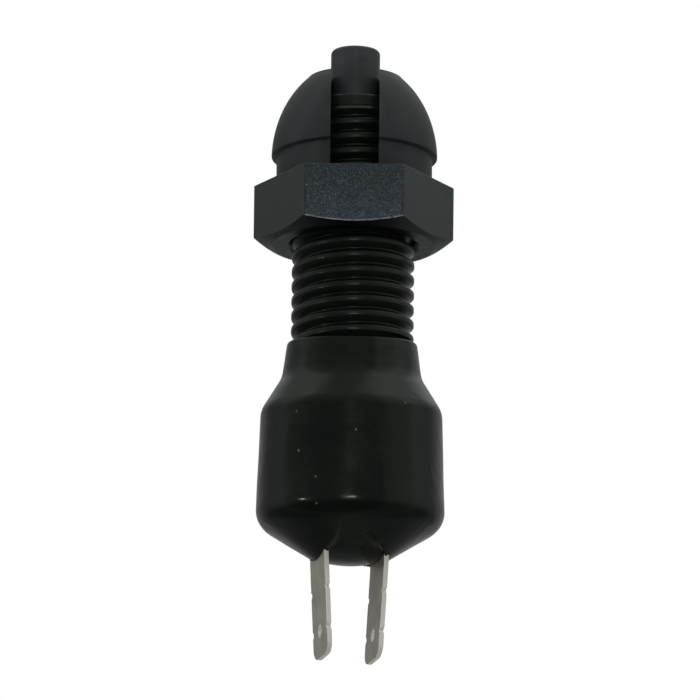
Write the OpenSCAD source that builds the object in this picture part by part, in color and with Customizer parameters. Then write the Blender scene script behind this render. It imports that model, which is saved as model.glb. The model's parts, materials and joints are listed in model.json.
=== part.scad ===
// Panel-mount momentary push button. A spring-loaded plunger slides in a threaded
// barrel and pushes a contact bridge onto two fixed contacts in a round case. A slotted
// dome guard and a hex nut clamp the panel. A moulded boot seals the case, and two flat
// terminals leave through its bottom.
// Millimetres. +Z points up the plunger. The origin is on the barrel's axis, on the
// plane where the guard's foot meets the nut. The guard's slot faces -Y.

/* [Thread] */
// Outside diameter of the barrel's thread
thread_d = 12; // [11.5:0.1:12]
// Distance from one thread crest to the next
pitch = 1.5; // [1.45:0.05:1.75]
// Depth of the thread groove
thread_depth = 0.75; // [0.6:0.05:0.75]
// Radial gap between a screwed part and the thread crests
screw_gap = 0.05; // [0.02:0.01:0.1]

/* [Barrel] */
// Height of the barrel's top face above the guard's foot
barrel_top = 7.94; // [7:0.02:8]
// Height of the plain ring above the thread
plain_ring_h = 1.1; // [0.8:0.02:1.5]
// Diameter of the long bore that holds the return spring
spring_bore_d = 8.4; // [8.2:0.1:8.4]

/* [Plunger] */
// Diameter of the plunger pin
plunger_d = 4.8; // [4.4:0.1:4.8]
// Height of the plunger's top face when released
plunger_top = 13.8; // [12.5:0.1:15]
// Radius of the pin's top edge
plunger_edge = 0.4; // [0.1:0.1:0.8]
// Radial running gap between the pin and its bore
slide_gap = 0.05; // [0.02:0.01:0.1]

/* [Dome guard] */
// Diameter of the short collar under the dome
collar_d = 15.24; // [14.6:0.02:15.6]
// Height of the collar
collar_h = 2.72; // [2:0.02:3]
// Diameter of the dome at its rim
dome_d = 16.26; // [16:0.02:17]
// Height of the flat on top of the dome
dome_top = 10.87; // [10.6:0.01:11.5]
// Width of the slot through the front wall
slot_w = 4.75; // [4.5:0.05:5.1]

/* [Hex nut] */
// Nut size across flats
nut_af = 17; // [16:0.5:19]
// Nut height
nut_h = 6.05; // [5:0.05:7]
// Angle of the chamfer under the nut
nut_chamfer = 22.5; // [15:0.5:30]

/* [Boot] */
// Thickness of the moulded wall
boot_wall = 0.7; // [0.6:0.05:0.75]
// Height of the boot's upper lip
boot_lip_z = -16.05; // [-17:0.05:-15.8]
// Largest outside diameter
boot_d = 18.6; // [18.4:0.1:19]

/* [Terminals] */
// Width of a terminal blade
tab_w = 4.75; // [4:0.05:4.8]
// Thickness of a terminal blade
tab_t = 0.5; // [0.4:0.05:0.6]
// Distance between the two blades, centre to centre
tab_spacing = 6.1; // [6:0.1:6.6]
// Height of the blade tips
tab_tip_z = -47.8; // [-50:0.1:-46]
// Angle by which each blade leans inward below the boot
tab_toe = 3; // [0:0.5:4]
// Turn of the terminals and contacts about the barrel's axis
contact_turn = 16.5; // [0:0.5:30]

/* [Hidden] */
$fn = 96;
eps = 0.01;

// Colours
black_plastic = [0.15, 0.155, 0.16];
plunger_grey = [0.19, 0.21, 0.215];
nut_black = [0.2, 0.205, 0.2];
thread_black = [0.1, 0.1, 0.105];
boot_black = [0.07, 0.07, 0.075];
tinned = [0.55, 0.54, 0.5];
bright_steel = [0.62, 0.63, 0.65];
brass_yellow = [0.72, 0.6, 0.32];
silver_grey = [0.78, 0.78, 0.76];
case_brown = [0.22, 0.16, 0.12];
resin_black = [0.12, 0.11, 0.1];

// Thread
crest_r = thread_d / 2;
root_r = crest_r - thread_depth;
flank_h = thread_depth * tan(30);
crest_h = 0.5;
thread_top = barrel_top - plain_ring_h;
screw_r = crest_r + screw_gap;
rim_rise = 0.16;

// Barrel, from the top down
pin_r = plunger_d / 2;
pin_bore_r = pin_r + slide_gap;
spring_bore_r = spring_bore_d / 2;
seal_pocket_r = 3.6;
seal_pocket_h = 2.5;
flange_r = 6.6;
flange_top = -20.8;
thread_turns = floor((thread_top - flange_top) / pitch);
flange_h = 0.8;
spigot_r = 5.2;
spigot_end = -24.4;
clip_groove_r = 4.7;

// Plunger below the pin
stop_top = -0.65;
stop_h = 1.55;
stop_r = spring_bore_r - 0.2;
stem_r = 1.6;
tip_r = 0.7;
tip_len = 2.2;

// Seal, retainer, return spring and its seat
seal_wire_r = 0.57;
retainer_h = 0.6;
seat_top = -20.1;
spring_r = 2.9;
spring_wire_r = 0.275;
press_gap = 0.02;

// Case and gasket
gasket_h = 0.4;
case_top = flange_top - flange_h - gasket_h;
case_wall_h = 1.2;
case_end = -33;
case_r = 8.1;
case_bore_r = 7.15;
case_chamfer_r = 7.3;
case_chamfer_h = 1.8;
clip_h = 0.7;

// Moving contacts
carrier_top = -24.8;
carrier_flange_h = 1;
carrier_flange_r = 3;
carrier_r = 1.3;
carrier_end = -30.2;
carrier_groove_r = 1;
bridge_top = -28.6;
bridge_t = 0.6;
bridge_len = 12;
bridge_w = 3.2;
bridge_pad_r = 2.4;
contact_x = 4.4;
contact_r = 1.15;
contact_t = 0.5;
carrier_clip_h = 0.55;

// Fixed contacts, base and resin
base_top = -32.2;
base_h = 1.6;
base_r = case_bore_r - 0.05;
base_pocket_r = 2.4;
base_pocket_h = 1.2;
shelf_end = 5.8;
tab_gap = 0.05;
tab_x = tab_spacing / 2;
tab_bend_z = -38.15;
tab_corner = 1.2;
tab_hole_r = 0.65;
tab_hole_z = tab_tip_z + 2.6;
tab_notch_r = 0.3;
tab_notch_rise = 4;
potting_end = -36.3;
potting_end_r = 3.9;

// Points of an arc around [cx, cy], from angle a0 to a1
function arc(cx, cy, r, a0, a1, n = 8) =
    [for (i = [0 : n]) let (a = a0 + (a1 - a0) * i / n) [cx + r * cos(a), cy + r * sin(a)]];

function unit(v) = v / norm(v);

// Round the corner at b, between a and c, with the curve of radius r
function corner(a, b, c, r, n = 6) =
    let (
        u = unit(a - b),
        v = unit(c - b),
        half = acos(u * v) / 2,
        centre = b + unit(u + v) * r / sin(half),
        p = b + u * r / tan(half) - centre,
        q = b + v * r / tan(half) - centre,
        a0 = atan2(p.y, p.x),
        sweep = atan2(p.x * q.y - p.y * q.x, p * q)
    )
    arc(centre.x, centre.y, r, a0, a0 + sweep, n);

// An outline from corners [x, y, radius]; radius 0 keeps the corner sharp
function outline(c) =
    [for (i = [0 : len(c) - 1])
        let (
            last = len(c) - 1,
            b = [c[i].x, c[i].y],
            a = i == 0 ? b : [c[i - 1].x, c[i - 1].y],
            d = i == last ? b : [c[i + 1].x, c[i + 1].y]
        )
        each c[i].z == 0 ? [b] : corner(a, b, d, c[i].z)];

// Height along a coil spring with one closed turn at each end, after t of n turns
function coil_z(t, n, h, wire) =
    let (closed = 2.1 * wire, free = h - 2 * wire - 2 * closed)
    wire + (t < 1 ? t * closed
        : t > n - 1 ? h - 2 * wire - (n - t) * closed
        : closed + free * (t - 1) / (n - 2));

module ring(r_out, r_in, h) {
    difference() {
        cylinder(r = r_out, h = h);
        translate([0, 0, -eps]) cylinder(r = r_in, h = h + 2 * eps);
    }
}

// A flat ring with a gap, such as a retaining clip
module open_ring(r_out, r_in, h, gap_w) {
    difference() {
        ring(r_out, r_in, h);
        translate([0, -gap_w / 2, -eps]) cube([r_out + 1, gap_w, h + 2 * eps]);
    }
}

module coil(mean_r, wire, h, turns, steps = 16, sides = 6) {
    count = turns * steps;
    points = [for (i = [0 : count], k = [0 : sides - 1])
        let (
            t = i / steps,
            a = 360 * k / sides,
            r = mean_r + wire * cos(a)
        )
        [r * cos(360 * t), r * sin(360 * t), coil_z(t, turns, h, wire) + wire * sin(a)]];
    skin = [for (i = [0 : count - 1], k = [0 : sides - 1])
        let (n = (k + 1) % sides)
        [i * sides + k, (i + 1) * sides + k, (i + 1) * sides + n, i * sides + n]];
    start = [for (k = [0 : sides - 1]) k];
    end = [for (k = [sides - 1 : -1 : 0]) count * sides + k];
    polyhedron(points, concat([start, end], skin), convexity = 10);
}

// Blade-shaped holes for both terminals
module tab_slits(top, h) {
    for (side = [-1, 1])
        rotate([0, 0, contact_turn])
            translate([side * tab_x, 0, top - h / 2])
                cube([tab_t + tab_gap, tab_w + tab_gap, h], center = true);
}

// Dome with an overhanging rim over a short collar, slotted through its front wall
module dome_guard() {
    dome_r = dome_d / 2;
    dome_z = 2.58;
    dome_c = 10;
    dome_start = asin((collar_h + rim_rise - dome_z) / dome_c);
    dome_end = asin((dome_top - 0.1 - dome_z) / dome_c);
    steps = 20;
    roof_z = barrel_top + 0.3;
    skin = [for (i = [0 : steps])
        let (a = dome_start + (dome_end - dome_start) * i / steps)
        [dome_r * cos(a), dome_z + dome_c * sin(a)]];
    color(black_plastic)
        difference() {
            rotate_extrude()
                polygon(concat(
                    [[0, 0], [collar_d / 2, 0], [collar_d / 2, collar_h]],
                    skin,
                    [[skin[steps].x - 0.15, dome_top], [0, dome_top]]));
            translate([0, 0, -1]) cylinder(r = screw_r, h = roof_z + 1);
            cylinder(r = pin_r + 0.15, h = dome_top + 1);
            translate([-slot_w / 2, -dome_r - 1, -1])
                cube([slot_w, dome_r + 1, dome_top + 2]);
        }
}

// Hex nut with a flat top, a chamfered underside and a countersunk lower bore
module hex_nut() {
    corner_r = nut_af / sqrt(3);
    land_r = nut_af / 2 - 0.6;
    rise = (corner_r + 1 - land_r) * tan(nut_chamfer);
    sink = 0.4;
    color(nut_black)
        translate([0, 0, -nut_h - 0.05])
            difference() {
                intersection() {
                    cylinder(r = corner_r, h = nut_h, $fn = 6);
                    rotate_extrude()
                        polygon([[0, 0], [land_r, 0], [corner_r + 1, rise],
                            [corner_r + 1, nut_h + 1], [0, nut_h + 1]]);
                }
                translate([0, 0, -1]) cylinder(r = screw_r, h = nut_h + 2);
                translate([0, 0, -eps])
                    cylinder(r1 = screw_r + sink + eps, r2 = screw_r, h = sink + eps);
            }
}

// One thread groove, from its upper crest down to the next one
function groove(z) = [
    [crest_r, z],
    [root_r, z - flank_h],
    [root_r, z - pitch + crest_h + flank_h],
    [crest_r, z - pitch + crest_h]];

// Barrel with its thread drawn as level grooves
module threaded_barrel() {
    thread_end = thread_top - thread_turns * pitch;
    ring_r = root_r + 0.25;
    color(thread_black)
        difference() {
            rotate_extrude()
                polygon(concat(
                    [[0, barrel_top], [ring_r - 0.25, barrel_top], [ring_r, barrel_top - 0.25],
                        [ring_r, thread_top]],
                    [for (i = [0 : thread_turns - 1]) each groove(thread_top - i * pitch)],
                    [[crest_r, thread_end], [flange_r, flange_top],
                        [flange_r, flange_top - flange_h], [spigot_r, flange_top - flange_h],
                        [spigot_r, spigot_end], [0, spigot_end]]));
            translate([0, 0, -30]) cylinder(r = pin_bore_r, h = 40);
            translate([0, 0, -eps]) cylinder(r = seal_pocket_r, h = seal_pocket_h + eps);
            translate([0, 0, spigot_end - 1]) cylinder(r = spring_bore_r, h = -spigot_end + 1);
            translate([0, 0, case_top - case_wall_h - clip_h])
                ring(spigot_r + 1, clip_groove_r, clip_h);
        }
}

// Pin, stop flange, stem and the thin tip that holds the contact carrier
module plunger() {
    stop_end = stop_top - stop_h;
    color(plunger_grey)
        rotate_extrude()
            polygon(outline([
                [0, plunger_top, 0],
                [pin_r, plunger_top, plunger_edge],
                [pin_r, stop_top, 0],
                [stop_r, stop_top, 0],
                [stop_r, stop_end, 0],
                [stem_r, stop_end, 0],
                [stem_r, carrier_top, 0],
                [tip_r, carrier_top, 0],
                [tip_r, carrier_top - tip_len, 0],
                [0, carrier_top - tip_len, 0]]));
}

// O-ring around the pin
module plunger_seal() {
    color(boot_black)
        translate([0, 0, seal_pocket_h / 2])
            rotate_extrude()
                translate([(pin_r + seal_pocket_r) / 2 + 0.01, 0]) circle(r = seal_wire_r, $fn = 32);
}

// Washer that holds the O-ring in and stops the plunger
module seal_retainer() {
    color(bright_steel)
        translate([0, 0, -retainer_h])
            ring(spring_bore_r - press_gap, pin_r + 0.1, retainer_h);
}

module return_spring() {
    color(bright_steel)
        translate([0, 0, seat_top])
            coil(spring_r, spring_wire_r, stop_top - stop_h - seat_top, 9);
}

// Bush that closes the spring bore and guides the plunger's stem
module spring_seat_bush() {
    color(brass_yellow)
        translate([0, 0, spigot_end])
            ring(spring_bore_r - press_gap, stem_r + 0.06, seat_top - spigot_end);
}

module barrel_gasket() {
    color(boot_black)
        translate([0, 0, case_top])
            ring(flange_r - 0.1, spigot_r + 0.05, gasket_h);
}

// Retaining clip that pulls the case up against the barrel's flange
module barrel_clip() {
    color(bright_steel)
        translate([0, 0, case_top - case_wall_h - clip_h])
            rotate([0, 0, 90])
                open_ring(6.3, clip_groove_r + press_gap, clip_h - 0.02, 6);
}

// Round cup, open at the bottom, with its upper edge cut to fit inside the boot
module switch_case() {
    roof = case_top - case_wall_h;
    color(case_brown)
        rotate_extrude()
            polygon([
                [spigot_r + 0.05, case_top],
                [case_chamfer_r, case_top],
                [case_r, case_top - case_chamfer_h],
                [case_r, case_end],
                [case_bore_r, case_end],
                [case_bore_r, roof],
                [spigot_r + 0.05, roof]]);
}

// Insulating spool on the plunger's tip, on which the bridge slides
module contact_carrier() {
    flange_end = carrier_top - carrier_flange_h;
    clip_z = bridge_top - bridge_t - 0.05;
    color(case_brown)
        difference() {
            union() {
                translate([0, 0, flange_end]) cylinder(r = carrier_flange_r, h = carrier_flange_h);
                translate([0, 0, carrier_end]) cylinder(r = carrier_r, h = flange_end - carrier_end);
            }
            translate([0, 0, carrier_top - tip_len - 0.1])
                cylinder(r = tip_r + press_gap, h = tip_len + 1);
            translate([0, 0, clip_z - carrier_clip_h])
                ring(carrier_r + 1, carrier_groove_r, carrier_clip_h);
        }
}

// Clip under the bridge, in the carrier's groove
module carrier_clip() {
    color(bright_steel)
        translate([0, 0, bridge_top - bridge_t - 0.05 - carrier_clip_h + 0.01])
            rotate([0, 0, contact_turn])
                open_ring(2, carrier_groove_r + press_gap, carrier_clip_h - 0.02, 1.4);
}

module contact_spring() {
    color(bright_steel)
        translate([0, 0, bridge_top])
            coil(1.95, 0.17, carrier_top - carrier_flange_h - bridge_top, 4);
}

// Flat bar with a round pad that the contact spring sits on
module contact_bridge() {
    color(brass_yellow)
        rotate([0, 0, contact_turn])
            translate([0, 0, bridge_top - bridge_t])
                difference() {
                    union() {
                        translate([-bridge_len / 2, -bridge_w / 2, 0])
                            cube([bridge_len, bridge_w, bridge_t]);
                        cylinder(r = bridge_pad_r, h = bridge_t);
                    }
                    translate([0, 0, -1]) cylinder(r = carrier_r + 0.08, h = bridge_t + 2);
                }
}

// A contact button whose lower face is at z
module contact_button(side, z) {
    color(silver_grey)
        rotate([0, 0, contact_turn])
            translate([side * contact_x, 0, z])
                cylinder(r = contact_r, h = contact_t);
}

module bridge_contact_left() {
    contact_button(-1, bridge_top - bridge_t - contact_t);
}

module bridge_contact_right() {
    contact_button(1, bridge_top - bridge_t - contact_t);
}

module fixed_contact_left() {
    contact_button(-1, base_top + tab_t);
}

module fixed_contact_right() {
    contact_button(1, base_top + tab_t);
}

// Face of a blade: rounded tip corners, a latch hole and notched edges
module blade_face() {
    half_w = tab_w / 2;
    top = base_top + tab_t;
    difference() {
        polygon(outline([
            [-half_w, top, 0],
            [-half_w, tab_tip_z, tab_corner],
            [half_w, tab_tip_z, tab_corner],
            [half_w, top, 0]]));
        translate([0, tab_hole_z]) circle(r = tab_hole_r, $fn = 48);
        for (edge = [-1, 1], rise = [0, tab_notch_rise])
            translate([edge * half_w, tab_hole_z + rise]) circle(r = tab_notch_r, $fn = 32);
    }
}

// Edge of a blade: straight through the boot, then leaning inward to the tip
module blade_edge() {
    outer = tab_x + tab_t / 2;
    inner = tab_x - tab_t / 2;
    lean = (tab_bend_z - tab_tip_z + 1) * tan(tab_toe);
    polygon([
        [inner, base_top + tab_t + 1],
        [inner, tab_bend_z],
        [inner - lean, tab_tip_z - 1],
        [outer - lean, tab_tip_z - 1],
        [outer, tab_bend_z],
        [outer, base_top + tab_t + 1]]);
}

// Flat blade with an inner shelf that carries the fixed contact
module terminal(turn) {
    shelf_x = tab_x - tab_t / 2;
    color(tinned)
        rotate([0, 0, turn]) {
            intersection() {
                translate([tab_x + 1, 0, 0])
                    rotate([90, 0, -90])
                        linear_extrude(2 + tab_x) blade_face();
                translate([0, tab_w, 0])
                    rotate([90, 0, 0])
                        linear_extrude(2 * tab_w) blade_edge();
            }
            translate([shelf_x, -bridge_w / 2, base_top])
                cube([shelf_end - shelf_x, bridge_w, tab_t]);
        }
}

module terminal_left() {
    terminal(contact_turn + 180);
}

module terminal_right() {
    terminal(contact_turn);
}

// Insulating floor of the case, slit for the terminals, with room for the carrier
module terminal_base() {
    color(case_brown)
        difference() {
            translate([0, 0, base_top - base_h]) cylinder(r = base_r, h = base_h);
            translate([0, 0, base_top - base_pocket_h])
                cylinder(r = base_pocket_r, h = base_pocket_h + 1);
            tab_slits(base_top + 1, base_h + 2);
        }
}

// Resin poured around the terminals under the base
module potting() {
    top = base_top - base_h;
    color(resin_black)
        difference() {
            translate([0, 0, potting_end])
                cylinder(r1 = potting_end_r, r2 = base_r, h = top - potting_end);
            tab_slits(top + 1, top - potting_end + 2);
        }
}

// Space under the boot, between the terminals: a lens from below, with a domed roof
module boot_hollow(roof_z, half_len) {
    roof_r = 10.6;
    half_w = tab_x + tab_t / 2;
    lens_r = (half_len * half_len + half_w * half_w) / (2 * half_w);
    rotate([0, 0, contact_turn])
        difference() {
            intersection_for (side = [-1, 1])
                translate([side * (lens_r - half_w), 0, roof_z - 1]) cylinder(r = lens_r, h = 4);
            translate([0, 0, roof_z + roof_r]) sphere(r = roof_r);
        }
}

// Moulded boot: neck on the thread, shoulder, body and a coned bottom
module rubber_boot() {
    cone_slope = 0.66;
    boot_r = boot_d / 2;
    neck_in = crest_r + press_gap;
    neck_out = crest_r + 0.52;
    cone_z = -40.2;
    shoulder_slope = 0.6;
    shoulder_z = -19.6;
    shoulder_top_r = 6.86;
    shoulder_end_r = 8.9;
    wall_side = boot_wall / cos(atan(shoulder_slope));
    wall_up = boot_wall / cos(atan(cone_slope));
    end_r = 3;
    end_z = cone_z + cone_slope * end_r;
    hollow_z = -38.1;
    hollow_half_len = 6.2;
    floor_z = hollow_z + 1.2;
    in_top_r = shoulder_top_r - wall_side;
    in_end_r = shoulder_end_r - boot_wall;
    in_r = boot_r - boot_wall;
    outside = outline([
        [neck_in, boot_lip_z, 0],
        [neck_out, boot_lip_z, 0.4],
        [shoulder_top_r, shoulder_z, 3],
        [shoulder_end_r, shoulder_z - (shoulder_end_r - shoulder_top_r) / shoulder_slope, 2.5],
        [boot_r, cone_z + cone_slope * boot_r, 2],
        [end_r, end_z, 0],
        [0, end_z, 0]]);
    inside = outline([
        [0, floor_z, 0],
        [(floor_z - cone_z - wall_up) / cone_slope, floor_z, 0],
        [in_r, cone_z + wall_up + cone_slope * in_r, 1.3],
        [in_end_r, shoulder_z - (in_end_r - in_top_r) / shoulder_slope, 1.5],
        [neck_in, shoulder_z - (neck_in - in_top_r) / shoulder_slope, 0]]);
    color(boot_black)
        difference() {
            rotate_extrude() polygon(concat(outside, inside));
            boot_hollow(hollow_z, hollow_half_len);
            tab_slits(potting_end, 6);
        }
}

dome_guard();
hex_nut();
threaded_barrel();
plunger();
plunger_seal();
seal_retainer();
return_spring();
spring_seat_bush();
barrel_gasket();
barrel_clip();
switch_case();
contact_carrier();
carrier_clip();
contact_spring();
contact_bridge();
bridge_contact_left();
bridge_contact_right();
fixed_contact_left();
fixed_contact_right();
terminal_left();
terminal_right();
terminal_base();
potting();
rubber_boot();
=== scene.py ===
"""Looks for the panel-mount push button: rebuilt outer pieces, materials, light and camera."""

import json
import math

import bmesh
import bpy
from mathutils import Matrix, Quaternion, Vector, noise


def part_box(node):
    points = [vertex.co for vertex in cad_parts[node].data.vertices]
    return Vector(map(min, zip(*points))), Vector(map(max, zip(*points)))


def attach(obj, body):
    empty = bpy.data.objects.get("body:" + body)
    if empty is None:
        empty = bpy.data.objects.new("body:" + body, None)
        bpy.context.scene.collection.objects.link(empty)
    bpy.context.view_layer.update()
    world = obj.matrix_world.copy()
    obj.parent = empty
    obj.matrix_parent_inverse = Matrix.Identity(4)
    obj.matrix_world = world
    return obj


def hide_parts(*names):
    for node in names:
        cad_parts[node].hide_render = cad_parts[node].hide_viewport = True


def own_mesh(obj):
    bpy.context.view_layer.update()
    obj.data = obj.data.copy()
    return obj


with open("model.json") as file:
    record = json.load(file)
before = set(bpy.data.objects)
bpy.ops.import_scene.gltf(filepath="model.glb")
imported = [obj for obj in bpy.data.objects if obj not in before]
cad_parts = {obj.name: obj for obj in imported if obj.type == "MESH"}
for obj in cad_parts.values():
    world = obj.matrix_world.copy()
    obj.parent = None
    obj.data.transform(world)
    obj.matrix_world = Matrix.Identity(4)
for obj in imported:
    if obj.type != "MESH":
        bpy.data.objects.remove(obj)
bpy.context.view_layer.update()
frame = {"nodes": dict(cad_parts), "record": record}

# ---------------------------------------------------------------- sizes, in metres

MM = 0.001
guard_lo, guard_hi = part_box("dome_guard")
nut_lo, nut_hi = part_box("hex_nut")
barrel_lo, barrel_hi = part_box("threaded_barrel")
plunger_lo, plunger_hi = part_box("plunger")
boot_lo, boot_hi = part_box("rubber_boot")
tab_lo, tab_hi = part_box("terminal_right")
spring_lo, spring_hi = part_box("return_spring")
contact_spring_lo, contact_spring_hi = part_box("contact_spring")

# Barrel: its thread, the plain ring above it and the flange below it
CREST_R = 6.0 * MM
ROOT_R = 5.25 * MM
PITCH = 1.5 * MM
CREST_H = 0.5 * MM
PLAIN_RING_H = 1.1 * MM
THREAD_START = 1.26 * MM
FLANGE_TOP = -20.8 * MM

# Bore of the nut and the guard, which run on the thread
SCREW_R = 6.05 * MM
PIN_R = 2.4 * MM
SLOT_W = 4.75 * MM

# Terminals: turned about the axis, and leaning inward below their bend
TURN = Quaternion((0, 0, 1), math.radians(16.5))
TAB_X = 3.05 * MM
TAB_W = 4.75 * MM
TAB_T = 0.5 * MM
TAB_BEND_Z = -38.15 * MM
TAB_TOE = math.radians(3)

# Coned bottom of the boot: the height of its point, and its rise from there
CONE_Z = -40.2 * MM
CONE_SLOPE = 0.66

# ---------------------------------------------------------------- outlines


def arc(centre, radius, start, end, steps=8):
    """Points of an arc, with its angles in degrees."""
    angles = [math.radians(start + (end - start) * i / steps) for i in range(steps + 1)]
    return [(centre[0] + radius * math.cos(a), centre[1] + radius * math.sin(a)) for a in angles]


def rounded_corner(before, corner, after, radius, steps):
    """The arc that rounds a corner of an outline."""
    b = Vector(corner)
    u = (Vector(before) - b).normalized()
    v = (Vector(after) - b).normalized()
    half = math.acos(max(-1, min(1, u.dot(v)))) / 2
    centre = b + (u + v).normalized() * radius / math.sin(half)
    p = b + u * radius / math.tan(half) - centre
    q = b + v * radius / math.tan(half) - centre
    start = math.degrees(math.atan2(p.y, p.x))
    sweep = math.degrees(math.atan2(p.x * q.y - p.y * q.x, p.dot(q)))
    return arc(centre, radius, start, start + sweep, steps)


def outline(corners, steps=6, closed=False):
    """An outline from corners (x, y, radius). A radius of 0 keeps the corner sharp."""
    points = []
    for i, (x, y, radius) in enumerate(corners):
        end = not closed and i in (0, len(corners) - 1)
        if radius == 0 or end:
            points.append((x, y))
            continue
        before = corners[i - 1][:2]
        after = corners[(i + 1) % len(corners)][:2]
        points += rounded_corner(before, (x, y), after, radius, steps)
    return points


def split_long(points, longest):
    """Adds points along an outline so that no step is longer than the given length."""
    result = [points[0]]
    for a, b in zip(points, points[1:]):
        pieces = max(1, math.ceil(math.dist(a, b) / longest))
        for i in range(1, pieces + 1):
            t = i / pieces
            result.append((a[0] + (b[0] - a[0]) * t, a[1] + (b[1] - a[1]) * t))
    return result


# ---------------------------------------------------------------- mesh builders


def mesh_object(name, points, faces, smooth_angle=38):
    """An object with smooth shading, sharp only where faces meet at a steep angle."""
    mesh = bpy.data.meshes.new(name)
    mesh.from_pydata([tuple(p) for p in points], [], faces)
    work = bmesh.new()
    work.from_mesh(mesh)
    bmesh.ops.remove_doubles(work, verts=work.verts, dist=1e-7)
    bmesh.ops.dissolve_degenerate(work, edges=work.edges, dist=1e-7)
    bmesh.ops.recalc_face_normals(work, faces=work.faces)
    work.to_mesh(mesh)
    work.free()
    mesh.shade_smooth()
    mesh.set_sharp_from_angle(angle=math.radians(smooth_angle))
    piece = bpy.data.objects.new(name, mesh)
    bpy.context.scene.collection.objects.link(piece)
    return piece


def swept_ring(profile, place, columns, closed_profile=True, closed_ring=True):
    """Points and faces of a profile carried round a ring. place(point, share) gives a 3-D point."""
    rows = len(profile)
    points = [place(p, j / columns) for j in range(columns + (not closed_ring)) for p in profile]
    rings = columns if closed_ring else columns + 1
    faces = []
    for j in range(columns):
        k = (j + 1) % rings
        for i in range(rows if closed_profile else rows - 1):
            n = (i + 1) % rows
            faces.append((j * rows + i, k * rows + i, k * rows + n, j * rows + n))
    if not closed_ring:
        faces.append(tuple(range(rows)))
        faces.append(tuple(columns * rows + i for i in range(rows)))
    return points, faces


def lathe(name, profile, columns=192, closed=True, smooth_angle=38):
    """A solid of revolution from its (radius, height) outline."""

    def place(p, share):
        a = math.tau * share
        return (p[0] * math.cos(a), p[0] * math.sin(a), p[1])

    points, faces = swept_ring(profile, place, columns, closed_profile=closed)
    return mesh_object(name, points, faces, smooth_angle)


def join(name, pieces):
    """One object made of several."""
    for p in bpy.context.selected_objects:
        p.select_set(False)
    for p in pieces:
        p.select_set(True)
    bpy.context.view_layer.objects.active = pieces[0]
    bpy.ops.object.join()
    pieces[0].name = name
    return pieces[0]


def apply_modifiers(piece):
    """Keeps the result of the modifiers as the piece's own mesh."""
    graph = bpy.context.evaluated_depsgraph_get()
    result = bpy.data.meshes.new_from_object(piece.evaluated_get(graph))
    piece.modifiers.clear()
    piece.data = result
    return piece


def bevel(piece, width, segments=3, angle=40):
    """Rounds the edges of a piece that are steeper than the angle."""
    rounding = piece.modifiers.new("edges", "BEVEL")
    rounding.width = width
    rounding.segments = segments
    rounding.limit_method = "ANGLE"
    rounding.angle_limit = math.radians(angle)
    rounding.harden_normals = True
    return apply_modifiers(piece)


# ---------------------------------------------------------------- material nodes

# Sockets of the Mix node when it mixes colours
MIX_FIRST = 6
MIX_SECOND = 7
MIX_RESULT = 2


class Nodes:
    """A short way to write a node tree."""

    def __init__(self, name):
        self.material = bpy.data.materials.new(name)
        self.material.use_nodes = True
        self.tree = self.material.node_tree
        self.tree.nodes.clear()
        self.output = self.add("ShaderNodeOutputMaterial")
        self.shader = self.add("ShaderNodeBsdfPrincipled")
        self.link(self.shader, "BSDF", self.output, "Surface")
        self.place = self.add("ShaderNodeTexCoord")

    def add(self, kind, **values):
        """A new node, with values for its inputs or settings."""
        node = self.tree.nodes.new(kind)
        for name, value in values.items():
            if name in node.inputs:
                node.inputs[name].default_value = value
            else:
                setattr(node, name, value)
        return node

    def link(self, source, out, target, into):
        """Joins an output to an input."""
        self.tree.links.new(source.outputs[out], target.inputs[into])

    def feed(self, value, target, into):
        """Sets an input to a fixed value, or links it from a (node, output) pair."""
        if isinstance(value, tuple) and isinstance(value[0], bpy.types.Node):
            self.link(value[0], value[1], target, into)
        else:
            target.inputs[into].default_value = value

    def calc(self, operation, first, second=0.0):
        """A Math node. Each input is a fixed value or a (node, output) pair."""
        node = self.add("ShaderNodeMath", operation=operation)
        self.feed(first, node, 0)
        self.feed(second, node, 1)
        return node

    def mix(self, share, first, second):
        """Mixes two colours, each of them fixed or a (node, output) pair."""
        node = self.add("ShaderNodeMix", data_type="RGBA")
        self.feed(share, node, "Factor")
        self.feed(first, node, MIX_FIRST)
        self.feed(second, node, MIX_SECOND)
        return node

    def noise(self, scale, detail=3.0, roughness=0.55, distortion=0.0, stretch=None):
        """A noise pattern fixed to the piece."""
        node = self.add("ShaderNodeTexNoise", Scale=scale, Detail=detail, Distortion=distortion)
        node.inputs["Roughness"].default_value = roughness
        if stretch:
            mapping = self.add("ShaderNodeMapping")
            mapping.inputs["Scale"].default_value = stretch
            self.link(self.place, "Object", mapping, "Vector")
            self.link(mapping, "Vector", node, "Vector")
        else:
            self.link(self.place, "Object", node, "Vector")
        return node

    def spread(self, source, out, low, high, start=0.3, end=0.7):
        """Turns a 0 to 1 pattern into a value between low and high."""
        node = self.add("ShaderNodeMapRange")
        node.inputs["From Min"].default_value = start
        node.inputs["From Max"].default_value = end
        node.inputs["To Min"].default_value = low
        node.inputs["To Max"].default_value = high
        self.link(source, out, node, "Value")
        return node

    def tint(self, source, out, dark, light, start=0.3, end=0.7):
        """Turns a 0 to 1 pattern into a colour between dark and light."""
        ramp = self.add("ShaderNodeValToRGB")
        ramp.color_ramp.elements[0].position = start
        ramp.color_ramp.elements[0].color = (*dark, 1)
        ramp.color_ramp.elements[1].position = end
        ramp.color_ramp.elements[1].color = (*light, 1)
        self.link(source, out, ramp, "Fac")
        return ramp

    def bumps(self, layers):
        """Stacks bump layers of (node, output, height in metres)."""
        last = None
        for source, out, height in layers:
            bump = self.add("ShaderNodeBump", Distance=height, Strength=1.0)
            self.link(source, out, bump, "Height")
            if last:
                self.link(last, "Normal", bump, "Normal")
            last = bump
        self.link(last, "Normal", self.shader, "Normal")


def scaled(colour, factor):
    """A colour made darker or lighter."""
    return tuple(c * factor for c in colour)


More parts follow.
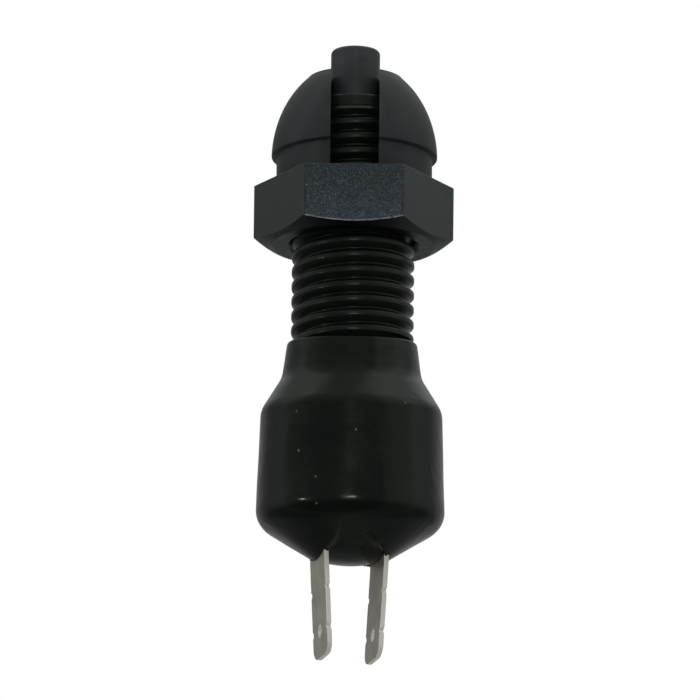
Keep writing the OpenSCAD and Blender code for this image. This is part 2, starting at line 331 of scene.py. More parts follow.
def green_gloss(n):
    """A faint green cast in the gloss of the barrel and the boot."""
    n.shader.inputs["Specular Tint"].default_value = (0.8, 1.0, 0.84, 1)
    n.shader.inputs["Specular IOR Level"].default_value = 0.57


def moulded_plastic(name, colour, roughness, grain=0.004 * MM, variation=0.25):
    """Matte moulded plastic: fine grain, faint flow marks and uneven gloss."""
    n = Nodes(name)
    flow = n.noise(260, detail=4, distortion=0.6)
    fine = n.noise(5200, detail=2)
    tint = n.tint(flow, "Fac", scaled(colour, 1 - variation), scaled(colour, 1 + variation))
    gloss = n.spread(flow, "Fac", roughness - 0.06, roughness + 0.06)
    n.link(tint, "Color", n.shader, "Base Color")
    n.link(gloss, "Result", n.shader, "Roughness")
    n.bumps([(flow, "Fac", 0.01 * MM), (fine, "Fac", grain)])
    return n.material


def granular_metal(name, colour):
    """Black-finished nut. Painted sparkle: the front and back flats get a grainy colour with bright
    flecks, standing in for light falling on them; the other flats are smoother. A painted highlight
    runs along their bottom edge.
    """
    n = Nodes(name)
    grain = n.noise(5200, detail=2, roughness=0.7)
    fleck = n.noise(8200, detail=1)
    patches = n.noise(700, detail=3)
    normal = n.add("ShaderNodeSeparateXYZ")
    n.link(n.place, "Normal", normal, "Vector")
    across = n.calc("ABSOLUTE", (normal, "Y"))
    # Painted sparkle: only the flats facing front and back get a grainy colour and bright flecks,
    # standing in for light falling on them.
    front_back_flats = n.spread(across, "Value", 0.15, 1.0, 0.9, 0.98)
    grainy = n.tint(grain, "Fac", scaled(colour, 0.45), scaled(colour, 1.05), 0.38, 0.68)
    base = n.mix((front_back_flats, "Result"), (0.14, 0.157, 0.152, 1), (grainy, "Color"))
    glint_flecks = n.spread(fleck, "Fac", 0.0, 1.0, 0.63, 0.78)
    painted_glints = n.calc("MULTIPLY", (glint_flecks, "Result"), (front_back_flats, "Result"))
    # The bright fleck colour is a painted glint.
    flecked = n.mix((painted_glints, "Value"), (base, MIX_RESULT), (0.4, 0.43, 0.5, 1))
    # Painted highlight: a bright band of colour along the bottom edge of the front and back flats,
    # broken into chips by the fleck pattern.
    painted_edge_highlight = n.add("ShaderNodeAttribute", attribute_name="painted_edge_highlight")
    highlight_breakup = n.spread(fleck, "Fac", 0.1, 1.0, 0.4, 0.6)
    chipped_highlight = n.calc("MULTIPLY", (painted_edge_highlight, "Fac"), (highlight_breakup, "Result"))
    finish = n.mix((chipped_highlight, "Value"), (flecked, MIX_RESULT), (0.8, 0.82, 0.88, 1))
    gloss = n.spread(patches, "Fac", 0.34, 0.46)
    height = n.calc("MULTIPLY", (grain, "Fac"), (front_back_flats, "Result"))
    n.shader.inputs["Metallic"].default_value = 1.0
    n.link(finish, MIX_RESULT, n.shader, "Base Color")
    n.link(gloss, "Result", n.shader, "Roughness")
    n.bumps([(height, "Value", 0.022 * MM), (patches, "Fac", 0.01 * MM)])
    return n.material


def cut_thread_black(name, colour):
    """Black barrel: marks that run round the thread, and a dull sheen."""
    n = Nodes(name)
    marks = n.noise(900, detail=4, stretch=(0.25, 0.25, 5))
    fine = n.noise(6000, detail=2)
    tint = n.tint(marks, "Fac", scaled(colour, 0.75), scaled(colour, 1.3))
    gloss = n.spread(marks, "Fac", 0.2, 0.34)
    n.link(tint, "Color", n.shader, "Base Color")
    n.link(gloss, "Result", n.shader, "Roughness")
    green_gloss(n)
    n.bumps([(marks, "Fac", 0.006 * MM), (fine, "Fac", 0.003 * MM)])
    return n.material


def dipped_rubber(name, colour):
    """Glossy dip-moulded skin: ripples, small pits, sparse dust and finger-dull patches."""
    n = Nodes(name)
    ripple = n.noise(230, detail=2, distortion=0.4)
    smear = n.noise(420, detail=5, roughness=0.65)
    pits = n.noise(3800, detail=2)
    dust = n.add("ShaderNodeTexVoronoi", Scale=380.0)
    n.link(n.place, "Object", dust, "Vector")
    speck = n.spread(dust, "Distance", 1.0, 0.0, 0.03, 0.055)
    tint = n.tint(smear, "Fac", scaled(colour, 0.75), scaled(colour, 1.3))
    dusty = n.mix((speck, "Result"), (tint, "Color"), (0.05, 0.052, 0.05, 1))
    gloss = n.spread(smear, "Fac", 0.13, 0.3)
    n.link(dusty, MIX_RESULT, n.shader, "Base Color")
    n.link(gloss, "Result", n.shader, "Roughness")
    green_gloss(n)
    n.bumps([(ripple, "Fac", 0.09 * MM), (pits, "Fac", 0.0015 * MM), (speck, "Result", 0.01 * MM)])
    return n.material


def metal(name, colour, roughness, stretch, scratch=0.004 * MM):
    """Bare metal with drawn or rolled lines, stains and uneven gloss."""
    n = Nodes(name)
    lines = n.noise(1600, detail=4, stretch=stretch)
    stain = n.noise(380, detail=5, roughness=0.65)
    tint = n.tint(stain, "Fac", scaled(colour, 0.72), scaled(colour, 1.1))
    gloss = n.spread(lines, "Fac", roughness - 0.08, roughness + 0.1)
    n.shader.inputs["Metallic"].default_value = 1.0
    n.link(tint, "Color", n.shader, "Base Color")
    n.link(gloss, "Result", n.shader, "Roughness")
    n.bumps([(lines, "Fac", scratch), (stain, "Fac", 0.008 * MM)])
    return n.material


def tinned_blade(name, colour):
    """Dull tin with rolled lines and stains. The sheared edges are paler and rougher."""
    n = Nodes(name)
    lines = n.noise(1500, detail=5, roughness=0.7, stretch=(6, 6, 0.3))
    stain = n.noise(420, detail=5, roughness=0.65)
    facing = n.add("ShaderNodeVectorMath", operation="DOT_PRODUCT")
    facing.inputs[1].default_value = TURN @ Vector((1, 0, 0))
    n.link(n.place, "Normal", facing, 0)
    flat = n.calc("ABSOLUTE", (facing, "Value"))
    edge = n.spread(flat, "Value", 1.0, 0.0, 0.4, 0.75)
    face_tint = n.tint(stain, "Fac", scaled(colour, 0.75), scaled(colour, 1.15))
    tint = n.mix((edge, "Result"), (face_tint, "Color"), (0.86, 0.84, 0.76, 1))
    tinned = n.spread(edge, "Result", 0.85, 0.62, 0.0, 1.0)
    gloss = n.spread(lines, "Fac", 0.34, 0.52)
    n.link(tint, MIX_RESULT, n.shader, "Base Color")
    n.link(tinned, "Result", n.shader, "Metallic")
    n.link(gloss, "Result", n.shader, "Roughness")
    n.bumps([(lines, "Fac", 0.006 * MM), (stain, "Fac", 0.01 * MM)])
    return n.material


MATERIALS = {
    "guard_plastic": moulded_plastic("guard_plastic", (0.0113, 0.017, 0.0166), 0.45),
    "nut_black": granular_metal("nut_black", (0.132, 0.165, 0.178)),
    "barrel_black": cut_thread_black("barrel_black", (0.0043, 0.0056, 0.0045)),
    "plunger_plastic": moulded_plastic("plunger_plastic", (0.021, 0.026, 0.027), 0.42),
    "seal_rubber": moulded_plastic("seal_rubber", (0.012, 0.012, 0.012), 0.6),
    "boot_rubber": dipped_rubber("boot_rubber", (0.0019, 0.0025, 0.002)),
    "spring_steel": metal("spring_steel", (0.55, 0.56, 0.58), 0.28, (1, 1, 1)),
    "clip_steel": metal("clip_steel", (0.5, 0.51, 0.53), 0.35, (1, 6, 1)),
    "bush_brass": metal("bush_brass", (0.7, 0.52, 0.25), 0.3, (0.3, 0.3, 6)),
    "case_plastic": moulded_plastic("case_plastic", (0.045, 0.03, 0.02), 0.3),
    "potting_resin": moulded_plastic("potting_resin", (0.03, 0.026, 0.022), 0.2),
    "contact_silver": metal("contact_silver", (0.8, 0.78, 0.74), 0.25, (1, 1, 1)),
    "tinned_brass": tinned_blade("tinned_brass", (0.6, 0.585, 0.5)),
}


def finish_piece(piece, node, body):
    """Gives a piece its node's material, and makes it stand for the node and move with its body."""
    slot = next(s["material_slot"] for s in frame["record"]["subparts"] if s["node"] == node)
    piece.data.materials.clear()
    piece.data.materials.append(MATERIALS[slot])
    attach(piece, body)
    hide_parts(node)
    return piece


# ---------------------------------------------------------------- dome guard


def make_guard():
    """Dome with an overhanging rim over a collar, with a parallel slot cut through its front."""
    foot = guard_lo.z
    top = guard_hi.z
    rim_r = guard_hi.x
    collar_r = 7.62 * MM
    collar_top = 2.72 * MM
    rim_z = 2.88 * MM
    dome_z = 2.58 * MM
    dome_height = 10 * MM
    roof_z = barrel_hi.z + 0.3 * MM
    pin_hole_r = PIN_R + 0.15 * MM
    steps = 40
    start = math.asin((rim_z + 0.12 * MM - dome_z) / dome_height)
    end = math.asin((top - 0.12 * MM - dome_z) / dome_height)
    dome = []
    for i in range(steps + 1):
        a = start + (end - start) * i / steps
        dome.append((rim_r * math.cos(a), dome_z + dome_height * math.sin(a)))
    foot_part = outline([
        (SCREW_R, foot + 0.2 * MM, 0),
        (SCREW_R + 0.2 * MM, foot, 0),
        (collar_r, foot, 0.12 * MM),
        (collar_r, collar_top, 0.06 * MM),
        (rim_r - 0.03 * MM, rim_z, 0.05 * MM),
        dome[0] + (0,),
    ])
    roof_part = outline([
        dome[-1] + (0,),
        (dome[-1][0] - 0.06 * MM, top - 0.02 * MM, 0),
        (dome[-1][0] - 0.2 * MM, top, 0),
        (pin_hole_r, top, 0.1 * MM),
        (pin_hole_r, roof_z, 0),
        (SCREW_R, roof_z, 0.25 * MM),
        (SCREW_R, roof_z - 1 * MM, 0),
    ])
    profile = foot_part + dome[1:-1] + roof_part
    half = SLOT_W / 2

    def place(p, share):
        edge = math.asin(half / p[0])
        a = -math.pi / 2 + edge + (math.tau - 2 * edge) * share
        return (p[0] * math.cos(a), p[0] * math.sin(a), p[1])

    points, faces = swept_ring(profile, place, 200, closed_ring=False)
    guard = mesh_object("guard_shell", points, faces)
    bevel(guard, 0.06 * MM, angle=70)
    return finish_piece(guard, "dome_guard", "guard")


# ---------------------------------------------------------------- hex nut


def hex_reach(angle, flat, corner_radius):
    """Distance from the axis to a hexagon's side, whose corners lie at 0, 60, 120... degrees."""
    off = (angle + math.pi / 6) % (math.pi / 3) - math.pi / 6
    middle = (flat - corner_radius) / math.cos(math.pi / 6)
    touch = math.atan2(corner_radius / 2, middle + corner_radius * math.cos(math.pi / 6))
    if abs(off) <= touch:
        side = middle * math.sin(off)
        return middle * math.cos(off) + math.sqrt(corner_radius**2 - side**2)
    return flat / math.cos(math.pi / 6 - abs(off))


def make_nut():
    """Hex nut with a flat top, a coned underside and a countersunk bore."""
    flat = nut_hi.y
    top = nut_hi.z
    base = nut_lo.z
    land_r = flat - 0.6 * MM
    slope = math.tan(math.radians(22.5))
    sink = 0.4 * MM
    edge = 0.1 * MM
    corner_radius = 0.3 * MM
    # Height of the row above the edge, which keeps the painted edge highlight narrow.
    highlight_band_h = 0.16 * MM
    inner = [
        (SCREW_R, base + sink),
        (SCREW_R, top - sink),
        (SCREW_R + sink, top),
    ]
    rows = 6

    def place(p, share):
        """A row's point. p is the stretch that the row belongs to, and its step along it."""
        a = math.tau * share
        kind, step = p
        reach = hex_reach(a, flat, corner_radius)
        if kind == "inner":
            r, z = inner[step]
        elif kind == "top":
            t = math.pi / 2 * step / rows
            r = reach - edge + edge * math.sin(t)
            z = top - edge + edge * math.cos(t)
        elif kind == "wall":
            r = reach
            z = base + (r - land_r) * slope + step
        elif kind == "cone":
            r = reach - (reach - land_r) * step
            z = base + (r - land_r) * slope
        else:
            r, z = SCREW_R + sink, base
        return (r * math.cos(a), r * math.sin(a), z)

    profile = [("inner", i) for i in range(len(inner))]
    profile += [("top", i) for i in range(rows + 1)]
    profile += [("wall", highlight_band_h), ("cone", 0)]
    profile += [("cone", 0.04), ("cone", 0.35), ("cone", 0.7), ("cone", 1.0)]
    profile += [("sink", 0)]
    points, faces = swept_ring(profile, place, 720)
    nut = mesh_object("nut_body", points, faces, smooth_angle=18)
    # Painted highlight: marks the bottom edge of the front and back flats for a bright band of
    # colour.
    painted_edge_highlight = nut.data.attributes.new("painted_edge_highlight", "FLOAT", "POINT")
    for v in nut.data.vertices:
        reach = hex_reach(math.atan2(v.co.y, v.co.x), flat, corner_radius)
        edge_z = base + (reach - land_r) * slope
        at_edge = math.hypot(v.co.x, v.co.y) > reach - 1e-6 and abs(v.co.z - edge_z) < 1e-6
        painted_edge_highlight.data[v.index].value = float(at_edge and abs(v.co.y) > flat - 0.05 * MM)
    return finish_piece(nut, "hex_nut", "nut")


# ---------------------------------------------------------------- threaded barrel


def make_thread(start, top, bottom, columns=160):
    """Right-hand helical thread with softened crests and roots, chamfered at its top."""
    flank = (CREST_R - ROOT_R) * math.tan(math.radians(30))
    crest_rounding = 0.2 * MM
    root_rounding = 0.05 * MM
    chamfer = 0.55 * MM
    turns = int((top - bottom) / PITCH) + 3
    corners = []
    z = start + PITCH / 2
    for _ in range(turns):
        corners += [
            (CREST_R, z, crest_rounding),
            (ROOT_R, z - flank, root_rounding),
            (ROOT_R, z - PITCH + CREST_H + flank, root_rounding),
            (CREST_R, z - PITCH + CREST_H, crest_rounding),
        ]
        z -= PITCH
    steps = 5
    profile = outline(corners[1:-1], steps)[1:-1]
    per_turn = 4 * (steps + 1)
    profile = profile[: len(profile) // per_turn * per_turn]
    points = []
    for j in range(columns):
        a = math.tau * (j / columns + 0.5)
        for r, level in profile:
            z = min(top, max(bottom, level + PITCH * j / columns))
            reach = min(r, CREST_R - chamfer + (top - z))
            points.append((reach * math.cos(a), reach * math.sin(a), z))
    rows = len(profile)
    faces = []
    for j in range(columns - 1):
        here = j * rows
        after = here + rows
        for i in range(rows - 1):
            faces.append((here + i, after + i, after + i + 1, here + i + 1))
    last = (columns - 1) * rows
    for i in range(per_turn, rows - 1):
        faces.append((last + i, i - per_turn, i - per_turn + 1, last + i + 1))
    return mesh_object("barrel_thread", points, faces, smooth_angle=50)


def make_barrel():
    """Threaded barrel: plain top ring, thread, flange and spigot around the stepped bore."""
    top = barrel_hi.z
    end = barrel_lo.z
    thread_top = top - PLAIN_RING_H
    thread_end = FLANGE_TOP + 0.5 * MM
    flange_r = barrel_hi.x
    ring_r = ROOT_R + 0.25 * MM
    bore_r = PIN_R + 0.05 * MM
    seal_bore_r = 3.6 * MM
    spring_bore_r = 4.2 * MM
    core_r = ROOT_R - 0.03 * MM
    flange_end = FLANGE_TOP - 0.8 * MM
    spigot_r = 5.2 * MM
    groove_r = 4.7 * MM
    groove_end = end + 0.5 * MM
    groove_top = groove_end + 0.7 * MM
    stop_z = 2.5 * MM
    chamfer = 0.15 * MM
    core = lathe("barrel_core", outline([
        (bore_r, top - chamfer, 0),
        (bore_r + chamfer, top, 0),
        (ring_r, top, 0.22 * MM),
        (ring_r, thread_top, 0),
        (core_r, thread_top, 0),
        (core_r, thread_end, 0),
        (flange_r, FLANGE_TOP, 0.1 * MM),
        (flange_r, flange_end, 0.1 * MM),
        (spigot_r, flange_end, 0),
        (spigot_r, groove_top, 0),
        (groove_r, groove_top, 0),
        (groove_r, groove_end, 0),
        (spigot_r, groove_end, 0),
        (spigot_r, end, 0.1 * MM),
        (spring_bore_r, end, 0),
        (spring_bore_r, 0, 0),
        (seal_bore_r, 0, 0),
        (seal_bore_r, stop_z, 0),
        (bore_r, stop_z, 0),
    ]))
    thread = make_thread(top - THREAD_START, thread_top, thread_end)
    return finish_piece(join("barrel_body", [thread, core]), "threaded_barrel", "housing")


# ---------------------------------------------------------------- plunger


def make_plunger():
    """Pin with a softened top edge, stop flange, stem and tip."""
    top = plunger_hi.z
    end = plunger_lo.z
    stop_r = plunger_hi.x
    stop_top = -0.65 * MM
    stop_end = -2.2 * MM
    stem_r = 1.6 * MM
    stem_end = -24.8 * MM
    tip_r = 0.7 * MM
    plunger = lathe("plunger_pin", outline([
        (0, top, 0),
        (PIN_R, top, 0.42 * MM),
        (PIN_R, stop_top, 0),
        (stop_r, stop_top, 0.1 * MM),
        (stop_r, stop_end, 0.1 * MM),
        (stem_r, stop_end, 0),
        (stem_r, stem_end, 0),
        (tip_r, stem_end, 0),
        (tip_r, end, 0.1 * MM),
        (0, end, 0),
    ], steps=8), columns=128, closed=False)
    return finish_piece(plunger, "plunger", "plunger")


# ---------------------------------------------------------------- boot


def cone_height(radius):
    """Height of the coned bottom at a distance from the axis."""
    return CONE_Z + CONE_SLOPE * radius


def hollow_roof(x, y):
    """Height of the domed hollow between the terminals, or None outside it."""
    along = Vector((x, y, 0))
    along.rotate(TURN.inverted())
    half_len = 6.2 * MM
    half_w = TAB_X + TAB_T / 2
    lens_r = (half_len**2 + half_w**2) / (2 * half_w)
    if math.hypot(abs(along.x) + lens_r - half_w, along.y) > lens_r:
        return None
    roof_r = 10.6 * MM
    return boot_lo.z + roof_r - math.sqrt(roof_r**2 - x * x - y * y)


def uneven(x, y, z):
    """Slow swelling of a dipped skin, between about -1 and 1."""
    at = Vector((x, y, z)) / (5.5 * MM)
    return noise.noise(at) + 0.35 * noise.noise(at * 2.3)


def make_boot():
    """Dip-moulded boot: rolled lip, neck, shoulder, body and a coned bottom with a hollow."""
    lip = boot_hi.z
    boot_r = 9.3 * MM
    neck_in = CREST_R + 0.02 * MM
    neck_r = 6.9 * MM
    neck_end = -19.7 * MM
    shoulder_r = 8.92 * MM
    shoulder_z = -23 * MM
    blunt_r = 1.5 * MM
    wall = 0.7 * MM
    swell = 0.05 * MM
    sag = 0.75 * MM
    floor_z = boot_lo.z + 1.2 * MM
    corners = [
        (neck_in, lip - 0.25 * MM, 0),
        (neck_in + 0.1 * MM, lip, 0.1 * MM),
        (6.36 * MM, lip - 0.12 * MM, 0.25 * MM),
        (6.52 * MM, lip - 1.0 * MM, 0.9 * MM),
        (neck_r, neck_end, 3 * MM),
        (shoulder_r, shoulder_z, 2.2 * MM),
        (boot_r, cone_height(boot_r), 2 * MM),
        (blunt_r, cone_height(blunt_r), 0),
        (0, cone_height(blunt_r), 0),
    ]
    outside = split_long(outline(corners, steps=12), 0.22 * MM)
    inside = outline([
        (0, floor_z, 0),
        (3.4 * MM, floor_z, 0),
        (boot_r - wall, cone_height(boot_r - wall) + 0.9 * MM, 1.3 * MM),
        (shoulder_r - 0.82 * MM, shoulder_z - 0.3 * MM, 1.5 * MM),
        (neck_in, neck_end + 0.03 * MM, 0),
    ], steps=6)
    last = len(outside) - 1
    profile = [p + (i,) for i, p in enumerate(outside + inside)]
    plain_lip_h = 2.2 * MM
    sag_top = -30 * MM
    sag_from_r = 3.6 * MM
    sag_full_r = 8.1 * MM
    hollow_top = -35 * MM
    steady_r = 4 * MM

    def place(p, share):
        r, z, i = p
        a = math.tau * share
        x = r * math.cos(a)
        y = r * math.sin(a)
        if i > last:
            return (x, y, z)
        near_lip = max(0, min(1, (z - lip + plain_lip_h) / plain_lip_h))
        outward = max(0, min(1, (r - sag_from_r) / (sag_full_r - sag_from_r)))
        loose = outward if z < sag_top else 1
        z -= sag * loose * max(0, -math.sin(a)) ** 1.5
        roof = hollow_roof(x, y) if z < hollow_top else None
        if roof and roof > z:
            return (x, y, roof)
        push = swell * (uneven(x, y, z) - 1.2) * min(1, r / steady_r) * (1 - near_lip)
        x += push * math.cos(a)
        y += push * math.sin(a)
        return (x, y, max(z, boot_lo.z))

    points, faces = swept_ring(profile, place, 320)
    boot = mesh_object("boot_skin", points, faces, smooth_angle=60)
    collars = [make_collar(side) for side in (-1, 1)]
    return finish_piece(join("boot_skin", [boot] + collars), "rubber_boot", "housing")


def make_collar(side):
    """The small bead of rubber that climbs each terminal."""
    bead = 0.08 * MM
    half_w = TAB_W / 2 + bead * 0.4
    half_t = TAB_T / 2 + bead * 0.4
    loop = outline([
        (half_t, -half_w, 0.2 * MM),
        (half_t, half_w, 0.2 * MM),
        (-half_t, half_w, 0.2 * MM),
        (-half_t, -half_w, 0.2 * MM),
    ], closed=True)
    loop = split_long(loop + loop[:1], 0.2 * MM)[:-1]
    sides = 8

    def place(k, share):
        x, y = loop[round(share * len(loop))]
        placed = Vector((side * TAB_X + x, y, 0))
        placed.rotate(TURN)
        roof = hollow_roof(placed.x, placed.y)
        cone = cone_height(math.hypot(placed.x, placed.y))
        level = max(cone, boot_lo.z) if roof is None else max(roof, cone)
        out = Vector((x, y * 0.2, 0)).normalized()
        out.rotate(TURN)
        b = math.tau * k / sides
        spot = placed + out * bead * math.cos(b)
        return (spot.x, spot.y, max(level + bead * math.sin(b), boot_lo.z))

    points, faces = swept_ring(range(sides), place, len(loop))
    return mesh_object("collar", points, faces, smooth_angle=180)


# ---------------------------------------------------------------- terminals


def make_terminal(name, side):
    """Stamped blade with rounded tip corners, softened edges, a latch hole and notched edges."""
    top = tab_hi.z
    tip = tab_lo.z
    hole_z = tip + 2.6 * MM
    half = TAB_W / 2
    notch_r = 0.3 * MM
    corner_r = 1.2 * MM
    edge = 0.06 * MM
    left_edge = [(-half, top), (-half, TAB_BEND_Z)]
    for level in (hole_z + 4 * MM, hole_z):
        left_edge += arc((-half, level), notch_r, 90, -90, 8)
    tip_part = outline([
        (-half, hole_z - 1 * MM, 0),
        (-half, tip, corner_r),
        (half, tip, corner_r),
        (half, hole_z - 1 * MM, 0),
    ], steps=10)
    right_edge = [(-y, z) for y, z in reversed(left_edge)]
    border = left_edge + tip_part[1:-1] + right_edge
    hole = arc((0, hole_z), 0.65 * MM, 360, 0, 32)[:-1]
    flat = bpy.data.curves.new(name, "CURVE")
    flat.dimensions = "2D"
    flat.fill_mode = "BOTH"
    flat.extrude = TAB_T / 2 - edge
    flat.bevel_depth = edge
    flat.bevel_resolution = 3
    flat.offset = -edge
    for loop in (border, hole):
        spline = flat.splines.new("POLY")
        spline.points.add(len(loop) - 1)
        for point, (y, z) in zip(spline.points, loop):
            point.co = (y, z, 0, 1)
        spline.use_cyclic_u = True
    drawn = bpy.data.objects.new(name + "_outline", flat)
    bpy.context.scene.collection.objects.link(drawn)
    graph = bpy.context.evaluated_depsgraph_get()
    mesh = bpy.data.meshes.new_from_object(drawn.evaluated_get(graph))
    bpy.data.objects.remove(drawn)
    for v in mesh.vertices:
        lean = max(0, TAB_BEND_Z - v.co.y) * math.tan(TAB_TOE)
        placed = Vector((side * (TAB_X - lean) + v.co.z, v.co.x, 0))
        placed.rotate(TURN)
        v.co = (placed.x, placed.y, v.co.y)
    mesh.shade_smooth()
    mesh.set_sharp_from_angle(angle=math.radians(35))
    blade = bpy.data.objects.new(name, mesh)
    bpy.context.scene.collection.objects.link(blade)
    return blade


def make_shelf(name, side):
    """The inner shelf that carries a fixed contact."""
    inner = TAB_X - TAB_T / 2
    outer = 5.8 * MM
    width = 3.2 * MM
    base = -32.2 * MM
    work = bmesh.new()
    bmesh.ops.create_cube(work, size=1)
    for v in work.verts:
        x = side * (inner + (v.co.x + 0.5) * (outer - inner))
        placed = Vector((x, v.co.y * width, 0))
        placed.rotate(TURN)
        v.co = (placed.x, placed.y, base + (v.co.z + 0.5) * TAB_T)
    bmesh.ops.recalc_face_normals(work, faces=work.faces)
    mesh = bpy.data.meshes.new(name)
    work.to_mesh(mesh)
    work.free()
    shelf = bpy.data.objects.new(name, mesh)
    bpy.context.scene.collection.objects.link(shelf)
    return bevel(shelf, 0.05 * MM)


# ---------------------------------------------------------------- springs


def make_spring(name, low, high, mean_r, wire_r, turns, columns=24, sides=10):
    """Coil spring of round wire with one closed turn at each end."""
    height = high - low
    closed = 2.1 * wire_r
    free = height - 2 * wire_r - 2 * closed

    def place(k, share):
        t = share * turns
        if t < 1:
            rise = t * closed
        elif t > turns - 1:
            rise = height - 2 * wire_r - (turns - t) * closed
        else:
            rise = closed + free * (t - 1) / (turns - 2)
        a = math.tau * t
        b = math.tau * k / sides
        r = mean_r + wire_r * math.cos(b)
        return (r * math.cos(a), r * math.sin(a), low + wire_r + rise + wire_r * math.sin(b))

    points, faces = swept_ring(range(sides), place, turns * columns, closed_ring=False)
    return mesh_object(name, points, faces, smooth_angle=60)


def make_springs():
    """The return spring, and the overtravel spring that rides on the plunger."""
    main = make_spring("main_coil", spring_lo.z, spring_hi.z, 2.9 * MM, 0.275 * MM, 9)
    finish_piece(main, "return_spring", "housing")
    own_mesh(main)
    low = contact_spring_lo.z
    high = contact_spring_hi.z
    small = make_spring("overtravel_coil", low, high, 1.95 * MM, 0.17 * MM, 4)
    finish_piece(small, "contact_spring", "plunger")
    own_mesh(small)


# ---------------------------------------------------------------- build the pieces

make_guard()
make_nut()
make_barrel()
make_plunger()
make_boot()
for side, hand in ((-1, "left"), (1, "right")):
    blade = make_terminal("blade_" + hand, side)
    shelf = make_shelf("shelf_" + hand, side)
    finish_piece(join(blade.name, [blade, shelf]), "terminal_" + hand, "housing")
make_springs()

for entry in frame["record"]["subparts"]:
    inner_node = frame["nodes"][entry["node"]]
    if not inner_node.hide_render:
        inner_node.data.materials.clear()
        inner_node.data.materials.append(MATERIALS[entry["material_slot"]])

# ---------------------------------------------------------------- floor, light and camera

# Brightness of the tent by azimuth, from the back round by the left, the front and the right
TENT_AROUND = (
    (-180, 0.38), (-140, 0.2), (-128, 0.15), (-110, 0.2), (-95, 0.3), (-89, 0.28), (-86, 0.18),
    (-74, 0.165), (-60, 0.11), (-14, 0.11), (4, 0.12), (40, 0.12), (45, 0.24), (82, 0.26),
    (86, 0.36), (100, 0.26), (120, 0.18), (132, 0.28), (180, 0.38),
)

# Its brightness by elevation, as a share of the level one
TENT_UP = (
    (-90, 0.55), (-70, 0.36), (-54, 0.28), (-20, 0.36), (-8, 0.75), (0, 1.0), (22, 1.0),
    (32, 1.6), (60, 1.9), (90, 2.4),
)


def make_floor():
    """A wide pale floor, well below the part. The part's gloss mirrors the tent instead."""
    level = -2.4
    floor = lathe("floor", [(0.0, level), (60.0, level)], columns=96, closed=False)
    n = Nodes("floor_paper")
    fibre = n.noise(300, detail=4)
    tint = n.tint(fibre, "Fac", (0.78, 0.78, 0.78), (0.84, 0.84, 0.84))
    n.link(tint, "Color", n.shader, "Base Color")
    n.shader.inputs["Roughness"].default_value = 0.8
    n.bumps([(fibre, "Fac", 0.02 * MM)])
    floor.data.materials.append(n.material)
    floor.visible_glossy = False


def brightness_curve(n, angle, steps, reach):
    """Turns an angle into a brightness. steps holds (degrees, brightness) from -reach to reach."""
    along = n.spread(angle, "Value", 0.0, 1.0, -math.radians(reach), math.radians(reach))
    curve = n.add("ShaderNodeFloatCurve")
    brightest = max(level for _, level in steps)
    line = curve.mapping.curves[0]
    while len(line.points) < len(steps):
        line.points.new(0.5, 0.5)
    for point, (degrees, level) in zip(line.points, steps):
        point.location = ((degrees + reach) / (2 * reach), level / brightest)
        point.handle_type = "VECTOR"
    curve.mapping.update()
    n.link(along, "Result", curve, "Value")
    return n.calc("MULTIPLY", (curve, "Value"), brightest)


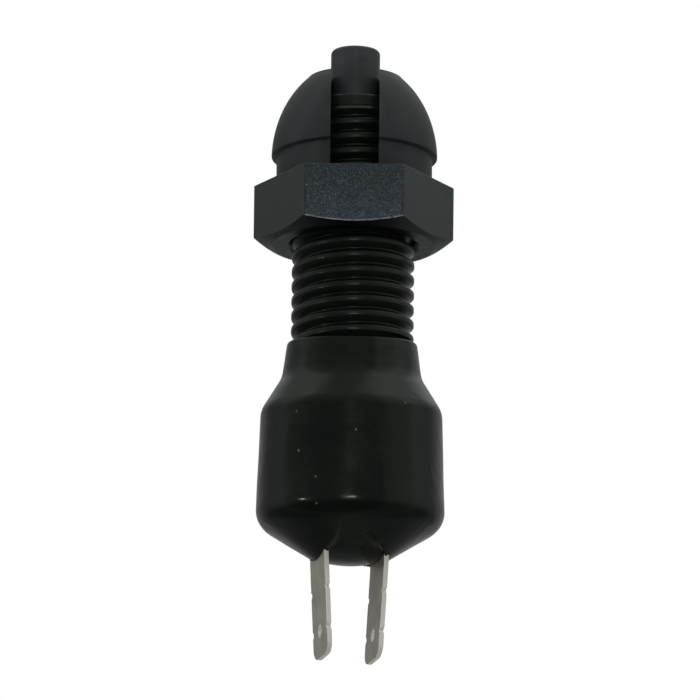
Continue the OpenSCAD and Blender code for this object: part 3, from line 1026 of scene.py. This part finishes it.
def make_tent():
    """A studio tent that only gloss sees: dim in front and below, brighter to the sides and back."""
    radius = 5.0
    half = arc((0, 0), radius, -90, 90, 30)
    half[0] = (0.0, -radius)
    half[-1] = (0.0, radius)
    tent = lathe("tent", half, columns=96, closed=False)
    n = Nodes("tent_cloth")
    n.tree.nodes.remove(n.shader)
    glow = n.add("ShaderNodeEmission")
    spot = n.add("ShaderNodeSeparateXYZ")
    n.link(n.place, "Object", spot, "Vector")
    front = n.calc("MULTIPLY", (spot, "Y"), -1.0)
    azimuth = n.calc("ARCTAN2", (spot, "X"), (front, "Value"))
    rise = n.calc("DIVIDE", (spot, "Z"), radius)
    elevation = n.calc("ARCSINE", (rise, "Value"))
    around = brightness_curve(n, azimuth, TENT_AROUND, 180)
    height = brightness_curve(n, elevation, TENT_UP, 90)
    product = n.calc("MULTIPLY", (around, "Value"), (height, "Value"))
    n.link(product, "Value", glow, "Strength")
    n.link(glow, "Emission", n.output, "Surface")
    tent.data.materials.append(n.material)
    tent.visible_camera = False
    tent.visible_diffuse = False
    tent.visible_shadow = False
    tent.visible_transmission = False


def make_world():
    """Even white surroundings."""
    world = bpy.data.worlds.new("studio")
    bpy.context.scene.world = world
    world.use_nodes = True
    background = world.node_tree.nodes["Background"]
    background.inputs["Color"].default_value = (1, 1, 1, 1)
    background.inputs["Strength"].default_value = 1.0


def make_light(name, azimuth, elevation, distance, size, watts):
    """An area light that points at the part. Azimuth 0 is on the camera's side."""
    a = math.radians(azimuth)
    e = math.radians(elevation)
    target = Vector((0, 0, -17 * MM))
    back = Vector((math.sin(a) * math.cos(e), -math.cos(a) * math.cos(e), math.sin(e)))
    data = bpy.data.lights.new(name, "AREA")
    data.shape = "RECTANGLE"
    data.size, data.size_y = size
    data.energy = watts
    light = bpy.data.objects.new(name, data)
    light.location = target + back * distance
    light.rotation_mode = "QUATERNION"
    light.rotation_quaternion = back.to_track_quat("Z", "Y")
    light.visible_camera = False
    bpy.context.scene.collection.objects.link(light)
    return light


def make_camera():
    """Long lens, from a little below the part, looking along +Y."""
    elevation = math.radians(-15.5)
    distance = 2.0
    view_width = 68.36 * MM
    sensor_width = 36
    target = Vector((-0.2 * MM, 0, -16.6 * MM))
    roll = Quaternion((0, 0, 1), math.radians(0.7))
    back = Vector((0, -math.cos(elevation), math.sin(elevation)))
    data = bpy.data.cameras.new("camera")
    data.sensor_width = sensor_width
    data.lens = sensor_width * distance / view_width
    data.clip_start = 0.01
    data.clip_end = 20
    camera = bpy.data.objects.new("camera", data)
    camera.location = target + back * distance
    camera.rotation_mode = "QUATERNION"
    camera.rotation_quaternion = back.to_track_quat("Z", "Y") @ roll
    bpy.context.scene.collection.objects.link(camera)
    bpy.context.scene.camera = camera


bpy.context.scene.view_settings.view_transform = "Standard"
make_floor()
make_world()
make_tent()
make_light("key", -50, 48, 0.5, (0.22, 0.22), 0.35).visible_glossy = False
make_light("glint_front", 2, 5, 1.5, (0.09, 0.05), 0.9)
make_light("glint_left", -59, 3, 1.5, (0.035, 0.1), 0.7)
make_camera()
